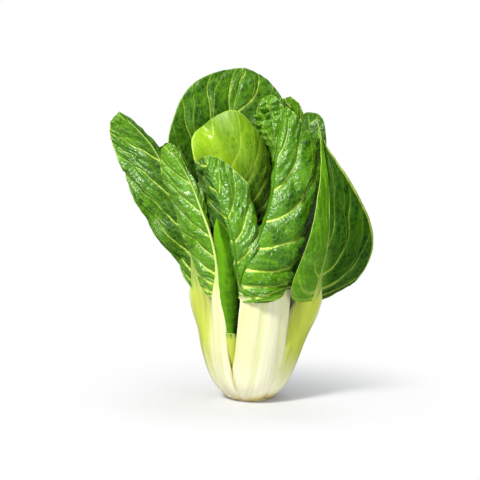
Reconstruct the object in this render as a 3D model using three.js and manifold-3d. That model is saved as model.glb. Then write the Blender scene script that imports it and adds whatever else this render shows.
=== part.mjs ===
// A head of pak choi: a trimmed stump and sixteen leaves, the smallest at its heart.
// Every leaf is a fleshy stalk that thins into a midrib, and a thin blade on it.
// Millimetres, +Z up. The origin is the middle of the flat cut end that the head stands on,
// and the head's showiest side faces -Y.
import * as THREE from 'three';
import { mergeVertices } from 'three/addons/utils/BufferGeometryUtils.js';
import Module from 'manifold-3d';

const wasm = await Module();
wasm.setup();

const GAP = 0.35;              // clearance between neighbouring pieces
const SHEET = 1.1;             // blade thickness at the midrib
const SHEET_TAPER = 0.35;      // share of that thickness lost at the margin
const BLADE_ROWS = 12;         // steps from blade base to tip
const BLADE_COLUMNS = 4;       // steps from midrib to margin
const STALK_ROWS = 16;         // steps from foot to tip
const STALK_SIDES = 8;         // corners of a stalk's section
const SPAN_STEPS = 60;         // steps for measuring each span of a spine
const FRAME_STEPS = 160;       // places along a spine where its directions are kept
const KNEE = 0.35;             // share of the stalk's length where its middle width applies
const SHOULDER = 0.22;         // share of the blade's length over which a wide stalk thins to its midrib
const RIB_REACH = 0.97;        // share of the spine that the midrib runs along
const STEEP = 1.6;             // how much closer together the veins leave the midrib near its base

// Half outline of the stump, radius and height, from its cut face to its domed top.
const STUMP_OUTLINE = [
  [0, 0], [16, 0], [17.2, 0.6], [17.6, 1.6], [16.5, 3], [14.5, 6], [12, 9], [8, 12], [0, 14],
];
const STUMP_SIDES = 32;

const COLOURS = { stump: 0xe8e4c4, stalk: 0xeef0d2, leaf: 0x2f6b24, young_leaf: 0x7fa83a };

// One leaf a line group. stalk and rib: points of its spine, foot to blade and blade to tip.
// stalk_width, offset, wrap: full width, sideways shift and bending radius of the stalk's section
// at its foot, knee and top. stalk_thick: thickness at foot and top. width: the blade's left and
// right half, seen from outside. fold: degrees a half stands inward from the midrib, and curl:
// degrees it turns from there to its margin, each at blade base, middle and tip. twist: degrees
// the leaf is turned about its spine at blade base and tip. drop: how far the lower lobe hangs.
// widest: where along the blade it is broadest. round: fullness of the outline at base and tip.
// tip: extra width near the tip. shoulder, rib_reach, steep: the leaf's own value of that constant.
const LEAVES = [
  { name: 'front', stalk: [[0, -16.5, 3], [1, -30.5, 18], [1, -40, 43], [-3, -46, 68], [-8.5, -50, 91]],
    rib: [[-9.5, -53, 107], [-5, -55, 122], [6, -54, 145], [16, -49, 175], [21, -44, 210], [28, -34, 250]],
    stalk_width: [26, 43, 49], offset: [0, 4, 24], stalk_thick: [7, 5], wrap: [24, 34, 60], rib_width: 1,
    shoulder: 0.1, twist: [0, -8], width: [22, 58], fold: [[80, 110, 110], [-30, -30, -10]],
    curl: [[20, 0, 0], [105, 110, 60]], drop: [4, 11], widest: [0.5, 0.43],
    round: [[0.5, 0.8], [0.6, 1.6]] },
  { name: 'right',
    stalk: [[14.5, -8, 3], [26.5, -14.5, 18], [37.5, -17, 43], [44, -20, 65], [51, -29, 90]],
    rib: [[55, -38, 107], [61, -48, 134], [63, -49, 162], [62, -43, 190], [59, -33, 214], [54, -20, 240]],
    stalk_width: [24, 40, 20], offset: [0, -4, -2], stalk_thick: [7, 5], wrap: [24, 34, 30], rib_width: 2,
    twist: [60, 60], width: [27, 41], fold: [[-70, -68, -30], [10, 14, 18]],
    curl: [[80, 80, 30], [8, 8, 8]], drop: [-4, 8], widest: [0.12, 0.34],
    round: [[0.6, 2.9], [3, 5.2]], tip: [0, 1], steep: 3 },
  { name: 'front_left',
    stalk: [[-10.2, -13, 3], [-19.5, -23.5, 18], [-25, -32.5, 43], [-26.5, -39, 73], [-27.5, -42, 93]],
    rib: [[-28, -45, 117], [-32, -46, 141], [-40, -45, 164], [-51, -41, 191], [-69, -35, 219]],
    stalk_width: [12, 15, 12], offset: [0, 0, 0], stalk_thick: [6, 4], wrap: [26, 30, 20], rib_width: 3,
    twist: [-10, -10], width: [25, 10], fold: [[20, 5, -5], [130, 110, 60]],
    curl: [[-20, -10, 10], [10, 10, 10]], drop: [5, 2], widest: [0.5, 0.5],
    round: [[0.5, 0.8], [0.5, 0.7]] },
  { name: 'left',
    stalk: [[-15.7, -5, 3], [-28.8, -9.5, 18], [-37, -13, 43], [-40, -15, 73], [-43, -18, 93]],
    rib: [[-47, -20, 115], [-52, -23, 138], [-59, -24, 163],
      [-68, -23, 188], [-82, -19, 216], [-109, -12, 244]],
    stalk_width: [24, 36, 20], offset: [0, 0, 0], stalk_thick: [7, 5], wrap: [24, 34, 30], rib_width: 2,
    twist: [-50, -60], width: [35, 14], fold: [[10, 5, 0], [110, 110, 80]],
    curl: [[-15, -10, 10], [10, 10, 10]], drop: [0, 0], widest: [0.64, 0.5],
    round: [[1, 0.8], [0.9, 1]] },
  { name: 'rolled', stalk: [[-6, -10, 8], [-13.5, -22.5, 24], [-16.5, -32.5, 41], [-17.5, -39, 57]],
    rib: [[-18, -46, 80], [-19, -54, 108], [-22, -56, 134], [-28, -52, 160]],
    stalk_width: [14, 16, 14], offset: [0, 0, 0], stalk_thick: [5, 3], wrap: [18, 18, 12], rib_width: 0.6,
    rib_reach: 0.4, twist: [-20, -20], width: [21, 17], fold: [[10, 10, 10], [10, 10, 10]],
    curl: [[105, 110, 100], [105, 110, 100]], drop: [2, 2], widest: [0.35, 0.35],
    round: [[0.3, 1.8], [0.3, 1.8]] },
  { name: 'folded', stalk: [[-3, -7, 10], [-5, -17, 28], [-6, -26, 53], [-8, -36, 80], [-11, -45, 100]],
    rib: [[-12, -53, 118], [-14, -55, 140], [-20, -51, 162], [-29, -44, 186], [-39, -38, 209]],
    stalk_width: [12, 12, 7], offset: [0, 0, 0], stalk_thick: [4, 3], wrap: [18, 20, 20], rib_width: 1.5,
    twist: [0, 0], width: [24, 25], fold: [[15, 15, 20], [5, 10, 0]],
    curl: [[30, 30, 40], [30, 50, 20]], drop: [4, 12], widest: [0.6, 0.62],
    round: [[3.6, 0.6], [2.2, 1.1]] },
  { name: 'blistered', stalk: [[9, 3, 10], [19, 6, 30], [23, 8, 63], [24, 4, 103], [23, 0, 133]],
    rib: [[22, -5, 158], [21, -8, 188], [19, -5, 220], [14, 4, 256]],
    stalk_width: [16, 18, 12], offset: [0, 0, 0], stalk_thick: [5, 3], wrap: [24, 24, 20], rib_width: 1.2,
    inward: [0, -1, 0], twist: [0, 0], width: [17, 17], fold: [[20, 15, 10], [10, 10, 0]],
    curl: [[-20, -20, -30], [-10, -10, -30]], drop: [4, 4], widest: [0.55, 0.55],
    round: [[0.85, 0.7], [0.85, 0.7]] },
  { name: 'young', stalk: [[0, 3, 14], [-1, 6, 38], [-2, 3, 78], [-4, -4, 118], [-8, -10, 148]],
    rib: [[-12, -15, 170], [-20, -19, 197], [-29, -21, 220], [-39, -17, 233]],
    stalk_width: [9, 10, 9], offset: [0, 0, 0], stalk_thick: [4, 3], wrap: [20, 20, 20], rib_width: 1.2,
    inward: [0, -1, 0], twist: [0, 0], width: [41, 26], fold: [[30, 30, 30], [20, 20, 20]],
    curl: [[-90, -90, -90], [20, 20, 30]], drop: [6, 0], widest: [0.58, 0.72],
    round: [[0.85, 0.7], [1.8, 0.7]], steep: 2.6 },
  { name: 'tall', stalk: [[-2, 9, 8], [-5, 22, 26], [-8, 28, 63], [-11, 26, 103], [-14, 22, 130]],
    rib: [[-17, 18, 163], [-18, 14, 203], [-15, 16, 243], [-6, 28, 278]],
    stalk_width: [28, 32, 22], offset: [0, 0, 0], stalk_thick: [6, 4], wrap: [26, 32, 40], rib_width: 1.5,
    twist: [0, 0], width: [57, 58], fold: [[15, 8, 0], [15, 8, 0]],
    curl: [[10, 10, 0], [10, 10, 0]], drop: [10, 10], widest: [0.52, 0.52],
    round: [[0.85, 0.75], [0.85, 1.7]] },
  { name: 'back_right', stalk: [[12, 5, 6], [28, 12, 22], [36, 16, 48], [40, 17, 83], [43, 16, 113]],
    rib: [[45, 13, 143], [46, 10, 178], [46, 7, 210], [50, 6, 242]],
    stalk_width: [26, 32, 18], offset: [0, 0, 0], stalk_thick: [6, 4], wrap: [28, 34, 40], rib_width: 2,
    twist: [-60, -60], width: [20, 13], fold: [[20, 10, 0], [20, 10, 0]],
    curl: [[10, 10, 0], [10, 10, 0]], drop: [8, 8], widest: [0.5, 0.5],
    round: [[0.85, 0.6], [0.85, 0.6]] },
  { name: 'rear_right',
    stalk: [[9.7, 13.3, 3], [18, 24.5, 18], [24.5, 34, 43], [29, 40, 73], [33, 46, 96]],
    rib: [[37, 53, 123], [40, 58, 155], [40, 60, 190], [34, 56, 252]],
    stalk_width: [26, 42, 30], offset: [0, 0, 0], stalk_thick: [7, 5], wrap: [24, 34, 40], rib_width: 4,
    twist: [0, 0], width: [22, 33], fold: [[10, 10, 0], [10, 10, 0]],
    curl: [[10, -10, -20], [10, -10, -20]], drop: [14, 14], widest: [0.45, 0.45],
    round: [[0.85, 1.1], [0.85, 1.1]] },
  { name: 'rear',
    stalk: [[-4.6, 15.8, 3], [-8.4, 29.2, 18], [-11, 39.5, 43], [-13, 45, 73], [-15, 51, 96]],
    rib: [[-19, 58, 122], [-23, 64, 153], [-26, 67, 188], [-28, 64, 230]],
    stalk_width: [26, 42, 32], offset: [0, 0, 0], stalk_thick: [7, 5], wrap: [24, 34, 40], rib_width: 4,
    twist: [0, 0], width: [40, 40], fold: [[10, 10, 0], [10, 10, 0]],
    curl: [[10, -10, -20], [10, -10, -20]], drop: [14, 14], widest: [0.48, 0.48],
    round: [[0.85, 0.85], [0.85, 0.85]] },
  { name: 'rear_left',
    stalk: [[-15, 6.6, 3], [-27.8, 12.3, 18], [-37, 17, 43], [-41.5, 20, 73], [-47, 25, 96]],
    rib: [[-57, 30, 123], [-66, 34, 153], [-71, 34, 183], [-73, 29, 214]],
    stalk_width: [24, 38, 28], offset: [0, 0, 0], stalk_thick: [7, 5], wrap: [24, 34, 40], rib_width: 4,
    twist: [0, 0], width: [27, 36], fold: [[10, 10, 0], [10, 10, 0]],
    curl: [[10, -10, -20], [10, -10, -20]], drop: [12, 12], widest: [0.48, 0.48],
    round: [[0.85, 0.85], [0.85, 0.85]] },
  { name: 'inner_right', stalk: [[6, 8, 10], [13, 19, 28], [17, 28, 60], [19, 33, 98], [20, 37, 120]],
    rib: [[20, 42, 148], [19, 45, 180], [17, 44, 216]],
    stalk_width: [14, 24, 16], offset: [0, 0, 0], stalk_thick: [5, 3], wrap: [20, 28, 40], rib_width: 2.5,
    twist: [0, 0], width: [30, 28], fold: [[15, 15, 10], [15, 15, 10]],
    curl: [[20, 10, 0], [20, 10, 0]], drop: [8, 8], widest: [0.5, 0.5],
    round: [[0.85, 0.85], [0.85, 0.85]] },
  { name: 'inner_left', stalk: [[-7, 5, 12], [-17, 13, 30], [-25, 20, 62], [-29, 25, 98], [-32, 29, 120]],
    rib: [[-36, 35, 148], [-40, 39, 178], [-42, 38, 212]],
    stalk_width: [14, 24, 16], offset: [0, 0, 0], stalk_thick: [5, 3], wrap: [20, 28, 40], rib_width: 2.5,
    twist: [0, 0], width: [28, 28], fold: [[15, 15, 10], [15, 15, 10]],
    curl: [[20, 10, 0], [20, 10, 0]], drop: [8, 8], widest: [0.5, 0.5],
    round: [[0.85, 0.85], [0.85, 0.85]] },
  { name: 'heart', stalk: [[4, 1, 14], [7, 2, 38], [8, 4, 68], [7, 6, 93]],
    rib: [[5, 7, 113], [3, 6, 133], [1, 3, 153]],
    stalk_width: [8, 9, 6], offset: [0, 0, 0], stalk_thick: [4, 3], wrap: [20, 20, 20], rib_width: 2,
    twist: [0, 0], width: [16, 16], fold: [[30, 30, 20], [30, 30, 20]],
    curl: [[40, 40, 40], [40, 40, 40]], drop: [2, 2], widest: [0.5, 0.5],
    round: [[0.85, 0.85], [0.85, 0.85]] },
];

const radians = THREE.MathUtils.degToRad;
const clamp = THREE.MathUtils.clamp;
const lerp = THREE.MathUtils.lerp;
const smooth = (x) => THREE.MathUtils.smoothstep(x, 0, 1);

// A value given at share 0, at share `bend` and at share 1, read in between.
function along([first, middle, last], share, bend = 0.5) {
  const f = clamp(share, 0, 1);
  return f < bend ? lerp(first, middle, f / bend) : lerp(middle, last, (f - bend) / (1 - bend));
}

// A value that starts from 0 and bows evenly through the one given at share `bend` to the last.
function bowed([, middle, last], share, bend) {
  const bow = (middle - last * bend) / (bend * bend - bend);
  return (last - bow) * share + bow * share * share;
}

// A leaf's spine: its curve from foot to tip, with the inward and rightward directions along it.
class Spine {
  constructor(leaf) {
    const points = [...leaf.stalk, ...leaf.rib].map((p) => new THREE.Vector3(...p));
    const curve = new THREE.CatmullRomCurve3(points, false, 'catmullrom', 0.5);
    curve.arcLengthDivisions = SPAN_STEPS * (points.length - 1);
    this.length = curve.getLength();
    this.stalkLength = curve.getLengths()[SPAN_STEPS * (leaf.stalk.length - 1)];
    this.bladeLength = this.length - this.stalkLength;
    const inward = leaf.inward ?? [-leaf.stalk[1][0], -leaf.stalk[1][1], 0];
    const facing = new THREE.Vector3(...inward).normalize();
    this.frames = [];
    for (let i = 0; i <= FRAME_STEPS; i++) {
      const share = i / FRAME_STEPS;
      const tangent = curve.getTangentAt(share);
      facing.addScaledVector(tangent, -facing.dot(tangent)).normalize();
      const run = share * this.length;
      const turn = lerp(leaf.twist[0] * smooth(2 * run / this.stalkLength - 1), leaf.twist[1],
        clamp((run - this.stalkLength) / this.bladeLength, 0, 1));
      const side = new THREE.Vector3().crossVectors(facing, tangent);
      const inner = facing.clone().multiplyScalar(Math.cos(radians(turn)));
      inner.addScaledVector(side, Math.sin(radians(turn)));
      const right = new THREE.Vector3().crossVectors(inner, tangent);
      this.frames.push({ point: curve.getPointAt(share), tangent, inner, right });
    }
  }

  // The frame at a distance from the foot. Past either end the spine runs straight on.
  at(run) {
    const place = clamp(run / this.length, 0, 1) * FRAME_STEPS;
    const i = Math.min(Math.floor(place), FRAME_STEPS - 1);
    const [a, b] = [this.frames[i], this.frames[i + 1]];
    const frame = {};
    for (const key of ['point', 'tangent', 'inner', 'right']) {
      frame[key] = a[key].clone().lerp(b[key], place - i);
    }
    frame.point.addScaledVector(frame.tangent, run - clamp(run, 0, this.length));
    return frame;
  }
}

// The point of a blade at vein share t and share u of the way out to the margin, on the left
// half (side -1) or the right one (side 1). Each half leaves the midrib at its fold angle and
// turns evenly by its curl over its width, so a strip across it is an arc of a circle.
function bladePoint(leaf, spine, t, u, side, grow) {
  const half = side < 0 ? 0 : 1;
  const width = leaf.width[half] + grow;
  const length = spine.bladeLength;
  const angle = Math.PI * t ** 0.9;
  const fullness = lerp(leaf.round[half][0], leaf.round[half][1], smooth(t));
  const bulge = Math.max(Math.sin(angle), 0);
  const tip = (leaf.tip ? leaf.tip[half] : 0) * Math.sqrt(bulge) * smooth(2 * t - 1);
  const edgeAcross = width * bulge ** fullness + tip;
  const lean = Math.log(leaf.widest[half]) / Math.log(0.5);
  const hang = leaf.drop[half] * bulge * (1 - t) ** 2 * 1.6;
  const edgeAlong = length * ((1 - Math.cos(angle)) / 2) ** lean - hang;
  const rootAlong = length * t ** (leaf.steep ?? STEEP);
  const bendAlong = lerp(rootAlong, edgeAlong, 0.3);
  const flow = (1 - u) ** 2 * rootAlong + 2 * u * (1 - u) * bendAlong + u ** 2 * edgeAlong;
  const across = 2 * u * (1 - u) * 0.55 * edgeAcross + u ** 2 * edgeAcross;
  const fold = radians(along(leaf.fold[half], flow / length));
  const bend = radians(along(leaf.curl[half], flow / length)) / width || 1e-6;
  const stretched = flow * (1 + 2 * grow / length) - grow;
  const { point, inner, right } = spine.at(spine.stalkLength + stretched);
  const end = fold + bend * across;
  point.addScaledVector(right, side * (Math.sin(end) - Math.sin(fold)) / bend);
  point.addScaledVector(inner, (Math.cos(fold) - Math.cos(end)) / bend);
  const normal = inner.clone().multiplyScalar(Math.cos(end));
  normal.addScaledVector(right, -side * Math.sin(end));
  return { point, normal };
}

// A closed body from its corner positions and quads of corner numbers. Corners at one place
// are merged, which closes the tips, and what that flattens to a line is left out.
function closedBody(corners, quads) {
  const loose = new THREE.BufferGeometry();
  loose.setAttribute('position', new THREE.Float32BufferAttribute(corners.flatMap((p) => p.toArray()), 3));
  loose.setIndex(quads.flatMap(([a, b, c, d]) => [a, b, c, a, c, d]));
  const merged = mergeVertices(loose, 1e-4);
  const kept = [];
  for (let i = 0; i < merged.index.count; i += 3) {
    const [a, b, c] = [0, 1, 2].map((k) => merged.index.getX(i + k));
    if (a !== b && b !== c && c !== a) kept.push(a, b, c);
  }
  const mesh = new wasm.Mesh({
    numProp: 3,
    vertProperties: new Float32Array(merged.attributes.position.array),
    triVerts: new Uint32Array(kept),
  });
  return new wasm.Manifold(mesh);
}

// The blade as a closed thin sheet: an inner and an outer face joined round the margin.
function bladeBody(leaf, spine, grow = 0) {
  const columns = 2 * BLADE_COLUMNS;
  const corners = [];
  for (const face of [1, -1]) {
    for (let i = 0; i <= BLADE_ROWS; i++) {
      for (let j = 0; j <= columns; j++) {
        const u = i % BLADE_ROWS === 0 ? 0 : (j - BLADE_COLUMNS) / BLADE_COLUMNS;
        const side = u < 0 ? -1 : 1;
        const { point, normal } = bladePoint(leaf, spine, i / BLADE_ROWS, Math.abs(u), side, grow);
        const other = u === 0 ? bladePoint(leaf, spine, i / BLADE_ROWS, 0, -1, grow).normal : normal;
        const away = normal.clone().add(other).normalize();
        const thickness = SHEET * (1 - SHEET_TAPER * Math.abs(u)) + 2 * grow;
        corners.push(point.addScaledVector(away, face * thickness / 2));
      }
    }
  }
  const wide = columns + 1;
  const back = wide * (BLADE_ROWS + 1);
  const quads = [];
  for (let i = 0; i < BLADE_ROWS; i++) {
    for (let j = 0; j < columns; j++) {
      const a = i * wide + j;
      quads.push([a, a + wide, a + wide + 1, a + 1]);
      quads.push([back + a, back + a + 1, back + a + wide + 1, back + a + wide]);
    }
    const left = i * wide;
    const right = left + columns;
    quads.push([left, back + left, back + left + wide, left + wide]);
    quads.push([right, right + wide, back + right + wide, back + right]);
  }
  return closedBody(corners, quads);
}

// Which way the midrib stands off the blade: on the outer side of the crease between the halves.
function ribSide(leaf) {
  const [left, right] = leaf.fold.map((fold) => radians(fold[1]));
  const sideways = Math.cos(left) - Math.cos(right);
  const inward = -0.35 - Math.sin(left) - Math.sin(right);
  return new THREE.Vector2(sideways, inward).normalize();
}

// The stalk and midrib as one body: a flattened section, bent round the head's middle, that
// follows the spine from foot to tip and thins out along the blade.
function stalkBody(leaf, spine, grow = 0) {
  const [thickFoot, thickTop] = leaf.stalk_thick;
  const shift = ribSide(leaf);
  const corners = [];
  const start = new THREE.Vector3();
  const finish = new THREE.Vector3();
  for (let i = 0; i <= STALK_ROWS; i++) {
    const run = lerp(-grow, spine.length * (leaf.rib_reach ?? RIB_REACH) + grow, i / STALK_ROWS);
    const f = run / spine.stalkLength;
    const b = clamp((run - spine.stalkLength) / spine.bladeLength, 0, 1);
    const fade = Math.max(1 - b / (leaf.shoulder ?? SHOULDER), 0) ** 1.6;
    const extra = Math.max(leaf.stalk_width[2] - leaf.rib_width, 0) / 2 * fade;
    const ribHalf = leaf.rib_width / 2 * (1 - b) ** 0.9 + 0.3 + extra;
    const half = (f > 1 ? ribHalf : along(leaf.stalk_width, f, KNEE) / 2) + grow;
    const stalkThick = lerp(thickFoot, thickTop, clamp(f, 0, 1));
    const thick = (f > 1 ? thickTop * (1 - b) ** 1.3 + b : stalkThick) + 2 * grow;
    const radius = along(leaf.wrap, f, KNEE);
    const offset = f > 1 ? leaf.offset[2] * fade : bowed(leaf.offset, f, KNEE);
    const { point, inner, right } = spine.at(run);
    const clear = smooth((f - 0.7) / 0.3) * ((thick - 2 * grow + SHEET) / 2 + GAP + 0.05);
    point.addScaledVector(right, shift.x * clear).addScaledVector(inner, shift.y * clear);
    const middle = new THREE.Vector3();
    for (let k = 0; k < STALK_SIDES; k++) {
      const turn = 2 * Math.PI * (k + 0.5) / STALK_SIDES;
      const bend = (offset + Math.cos(turn) / Math.cos(Math.PI / STALK_SIDES) * half) / radius;
      const lift = Math.sign(Math.sin(turn)) * Math.abs(Math.sin(turn)) ** 0.7 * thick / 2;
      const corner = point.clone();
      corner.addScaledVector(right, radius * Math.sin(bend) - lift * Math.sin(bend));
      corner.addScaledVector(inner, radius * (1 - Math.cos(bend)) + lift * Math.cos(bend));
      corners.push(corner);
      middle.addScaledVector(corner, 1 / STALK_SIDES);
    }
    if (i === 0) start.copy(middle);
    if (i === STALK_ROWS) finish.copy(middle);
  }
  const quads = [];
  const first = corners.length;
  const last = STALK_ROWS * STALK_SIDES;
  corners.push(start, finish);
  for (let k = 0; k < STALK_SIDES; k++) {
    const next = (k + 1) % STALK_SIDES;
    for (let i = 0; i < STALK_ROWS; i++) {
      const a = i * STALK_SIDES;
      quads.push([a + k, a + next, a + STALK_SIDES + next, a + STALK_SIDES + k]);
    }
    quads.push([first, next, k, first]);
    quads.push([first + 1, last + k, last + next, first + 1]);
  }
  return closedBody(corners, quads);
}

// The stump, turned from its half outline. Grown, it is larger all round by that much.
function stumpBody(grow = 0) {
  const outline = STUMP_OUTLINE.map(([radius, height]) => new THREE.Vector2(
    radius > 0 ? radius + grow : 0, height + (height > 1 ? grow : -grow)));
  const turned = new THREE.LatheGeometry(outline, STUMP_SIDES);
  turned.rotateX(Math.PI / 2);
  const place = turned.attributes.position;
  const cornerAt = (i) => new THREE.Vector3().fromBufferAttribute(place, i);
  const corners = Array.from({ length: place.count }, (_, i) => cornerAt(i));
  const quads = [];
  for (let i = 0; i < turned.index.count; i += 3) {
    const [a, b, c] = [0, 1, 2].map((k) => turned.index.getX(i + k));
    quads.push([a, b, c, a]);
  }
  return closedBody(corners, quads);
}

function boxesMeet(a, b) {
  return [0, 1, 2].every((k) => a.min[k] < b.max[k] && b.min[k] < a.max[k]);
}

const placed = [];

// Cuts a body back from everything placed before it, keeps its largest piece and places it.
function place(name, colour, body, grown) {
  let cut = body;
  for (const earlier of placed) {
    if (boxesMeet(cut.boundingBox(), earlier.box)) cut = cut.subtract(earlier.grown);
  }
  const pieces = cut.decompose();
  const largest = pieces.reduce((a, b) => (b.volume() > a.volume() ? b : a));
  placed.push({ grown, box: grown.boundingBox() });
  const { vertProperties, triVerts } = largest.getMesh();
  const geometry = new THREE.BufferGeometry();
  geometry.setAttribute('position', new THREE.BufferAttribute(vertProperties, 3));
  geometry.setIndex(new THREE.BufferAttribute(triVerts, 1));
  geometry.computeVertexNormals();
  const material = new THREE.MeshStandardMaterial({ color: colour, roughness: 0.45, metalness: 0 });
  const mesh = new THREE.Mesh(geometry, material);
  mesh.name = name;
  return mesh;
}

const head = new THREE.Group();
head.add(place('stump', COLOURS.stump, stumpBody(), stumpBody(GAP)));
const spines = LEAVES.map((leaf) => new Spine(leaf));
LEAVES.forEach((leaf, i) => {
  const grownStalk = stalkBody(leaf, spines[i], GAP);
  head.add(place(`${leaf.name}_stalk`, COLOURS.stalk, stalkBody(leaf, spines[i]), grownStalk));
});
LEAVES.forEach((leaf, i) => {
  const colour = leaf.name === 'young' ? COLOURS.young_leaf : COLOURS.leaf;
  const grownBlade = bladeBody(leaf, spines[i], GAP);
  head.add(place(`${leaf.name}_blade`, colour, bladeBody(leaf, spines[i]), grownBlade));
});

export default head;
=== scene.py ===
"""A head of pak choi: fleshy white stalks, glossy veined blades and a trimmed stump.

Every leaf hangs on a spine from its foot to its tip. The stalk and the midrib are one flattened
section carried along the spine, and the blade is a thin sheet over two parameters: the share of
the way up the leaf, measured along its veins, and the share of the way out to its margin.
"""

import math

import bpy
import numpy as np
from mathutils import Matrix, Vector


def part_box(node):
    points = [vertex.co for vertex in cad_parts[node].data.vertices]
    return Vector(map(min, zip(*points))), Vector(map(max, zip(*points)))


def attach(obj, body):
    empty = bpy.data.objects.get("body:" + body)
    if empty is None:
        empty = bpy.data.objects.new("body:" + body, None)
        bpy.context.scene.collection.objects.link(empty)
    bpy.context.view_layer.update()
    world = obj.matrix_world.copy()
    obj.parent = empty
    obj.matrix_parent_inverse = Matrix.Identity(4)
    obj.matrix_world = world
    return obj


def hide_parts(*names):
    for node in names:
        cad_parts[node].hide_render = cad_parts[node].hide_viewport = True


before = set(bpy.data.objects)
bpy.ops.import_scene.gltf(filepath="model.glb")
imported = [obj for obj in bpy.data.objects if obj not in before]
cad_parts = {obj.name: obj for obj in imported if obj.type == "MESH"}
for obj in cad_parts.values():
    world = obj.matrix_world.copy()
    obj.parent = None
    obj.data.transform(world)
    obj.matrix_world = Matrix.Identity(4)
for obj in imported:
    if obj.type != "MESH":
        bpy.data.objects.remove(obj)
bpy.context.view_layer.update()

# Sizes below are in millimetres. One of them is this many metres, from the frame's tallest blade.
TALLEST_TIP = 278.134
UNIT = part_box("tall_blade")[1].z / TALLEST_TIP

KNEE = 0.35            # share of a stalk's length where its middle width applies
SHOULDER = 0.22        # share of a blade's length over which a wide stalk thins to its midrib
SHEET = 0.9            # blade thickness at the midrib
SHEET_TAPER = 0.45     # share of it lost at the margin
BLADE_ROWS = 190       # mesh steps up a blade of full detail
BLADE_COLUMNS = 36     # mesh steps from its midrib to a margin
STALK_ROWS = 120       # mesh steps up a stalk
STALK_SIDES = 80       # mesh steps round its section

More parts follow.
